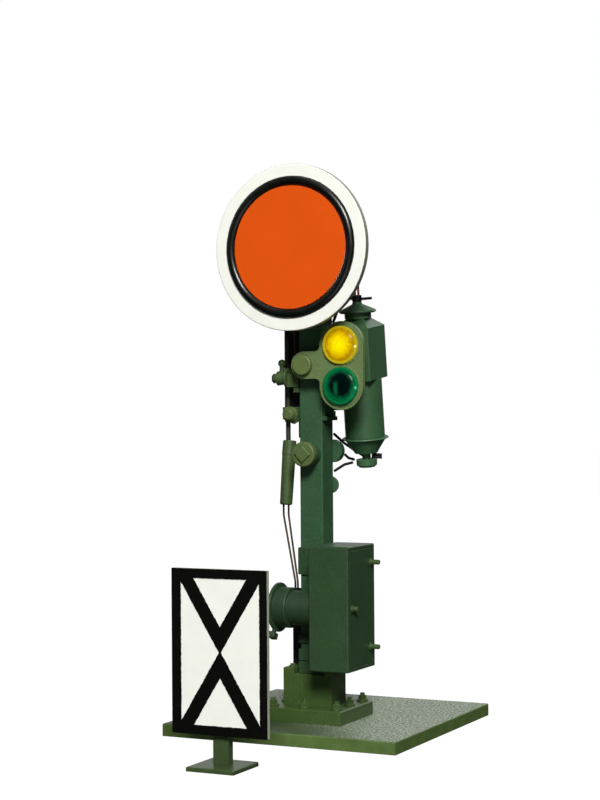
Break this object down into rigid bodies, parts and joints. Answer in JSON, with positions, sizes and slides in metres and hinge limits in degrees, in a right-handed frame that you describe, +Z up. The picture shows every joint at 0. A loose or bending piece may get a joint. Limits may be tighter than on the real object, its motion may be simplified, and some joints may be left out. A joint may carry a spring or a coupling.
{
  "type": "model signal mast",
  "caption": "Scale-model distant signal: a tilting disc, a spectacle with coloured lenses, a lantern and a wire drive on a square mast, with a separate marker board.",
  "frame": {"origin": "under the mast's axis, on the underside of the base plate", "axes": "+Z up the mast; -Y is the side the signal shows to the train; +X to the right of someone facing it"},
  "size_m": [0.0174, 0.0271, 0.0389],
  "materials": {
    "base_green": "satin green paint with a fine grain",
    "mast_green": "semi-matt dark green paint with a fine grain",
    "fitting_green": "semi-matt olive green paint",
    "disc_white": "white, satin",
    "disc_orange": "satin orange paint",
    "disc_black": "glossy black paint",
    "back_black": "matt dark paint",
    "steel": "bright turned steel",
    "dark_wire": "blackened wire",
    "guide_black": "matt black",
    "brass": "turned brass",
    "coil_copper": "enamelled copper wire, layer on layer",
    "lead_copper": "bare copper",
    "black_plastic": "matt black",
    "wire_black": "black insulation",
    "yellow_lens": "clear yellow, lit from behind",
    "green_lens": "clear dark green",
    "clear_glass": "clear",
    "lamp_white": "milky white",
    "board_white": "white, satin",
    "board_black": "black print",
    "post_green": "satin green paint with a fine grain"
  },
  "bodies": {
    "stand": {"axle_bush": "brass", "base_plate": "base_green", "bearing_housing": "fitting_green", "box_cover": "mast_green", "box_shell": "mast_green", "coil_bobbin": "black_plastic", "coil_winding": "coil_copper", "cover_pins": "fitting_green", "disc_bracket": "mast_green", "feed_wires": "wire_black", "foot_bolts": "fitting_green", "foot_flange": "fitting_green", "foot_socket": "fitting_green", "guide_bolt": "fitting_green", "guide_bracket": "fitting_green", "guide_strip": "guide_black", "hinge_pin": "steel", "lantern_body": "mast_green", "lantern_bracket": "mast_green", "lantern_cap": "mast_green", "lantern_glass": "clear_glass", "lantern_led": "lamp_white", "lantern_tank": "mast_green", "lead_collar": "black_plastic", "led_leads": "lead_copper", "mast": "mast_green", "mast_cap": "mast_green", "mast_clamps": "mast_green", "mid_boss": "fitting_green", "pivot_bracket": "fitting_green", "rear_boss": "mast_green", "rear_stud": "mast_green", "socket_screw": "fitting_green", "spectacle_pivot": "steel", "square_bolt": "fitting_green", "tank_cone": "mast_green"},
    "disc": {"disc_plate": "disc_white", "disc_ring": "disc_black", "disc_face": "disc_orange", "disc_carrier": "back_black"},
    "spectacle": {"spectacle_plate": "fitting_green", "spectacle_boss": "fitting_green", "yellow_lens": "yellow_lens", "green_lens": "green_lens"},
    "spectacle_link": {"spectacle_link": "dark_wire"},
    "push_rod": {"push_rod": "fitting_green", "rod_hook": "dark_wire", "rod_sleeve": "fitting_green", "pull_wires": "dark_wire"},
    "crank": {"crank_lever": "fitting_green", "cross_shaft": "steel"},
    "drum": {"drum_body": "mast_green", "drum_flange": "mast_green", "drum_axle": "steel", "axle_crank": "steel"},
    "plunger": {"plunger": "steel"},
    "marker_board": {"board_panel": "board_white", "board_print": "board_black", "board_post": "post_green", "board_foot": "post_green"}
  },
  "joints": [
    {"name": "disc_tilt", "type": "hinge", "parent": "stand", "child": "disc", "pos_m": [0, -0.00305, 0.03325], "axis": [-1, 0, 0], "range_deg": [0, 90.05]},
    {"name": "spectacle_swing", "type": "hinge", "parent": "stand", "child": "spectacle", "pos_m": [0, -0.00198, 0.0253], "axis": [0, -1, 0], "range_deg": [0, 49.02]},
    {"name": "link_slide", "type": "slide", "parent": "stand", "child": "spectacle_link", "axis": [0, 0, -1], "range_m": [0, 0.00059917]},
    {"name": "rod_slide", "type": "slide", "parent": "stand", "child": "push_rod", "axis": [0, 0, -1], "range_m": [0, 0.0012]},
    {"name": "crank_turn", "type": "hinge", "parent": "stand", "child": "crank", "pos_m": [-0.00272, -0.00075, 0.02445], "axis": [-1, 0, 0], "range_deg": [0, 66.14]},
    {"name": "drum_turn", "type": "hinge", "parent": "stand", "child": "drum", "pos_m": [0, -0.00238, 0.00868], "axis": [-1, 0, 0], "range_deg": [0, 49.49]},
    {"name": "plunger_slide", "type": "slide", "parent": "stand", "child": "plunger", "axis": [0, 0, -1], "range_m": [0, 0.00163]},
    {"name": "marker_board_lift", "type": "slide", "parent": "stand", "child": "marker_board", "axis": [0, 0, 1], "range_m": [0, 0.02]}
  ],
  "couplings": [
    {"joint": "disc_tilt", "follows": "rod_slide", "rad_per_m": 1309},
    {"joint": "spectacle_swing", "follows": "rod_slide", "rad_per_m": 712.68},
    {"joint": "link_slide", "follows": "rod_slide", "ratio": 0.49906},
    {"joint": "crank_turn", "follows": "rod_slide", "rad_per_m": 961.55},
    {"joint": "drum_turn", "follows": "rod_slide", "rad_per_m": 719.42},
    {"joint": "plunger_slide", "follows": "rod_slide", "ratio": 1.3597}
  ]
}
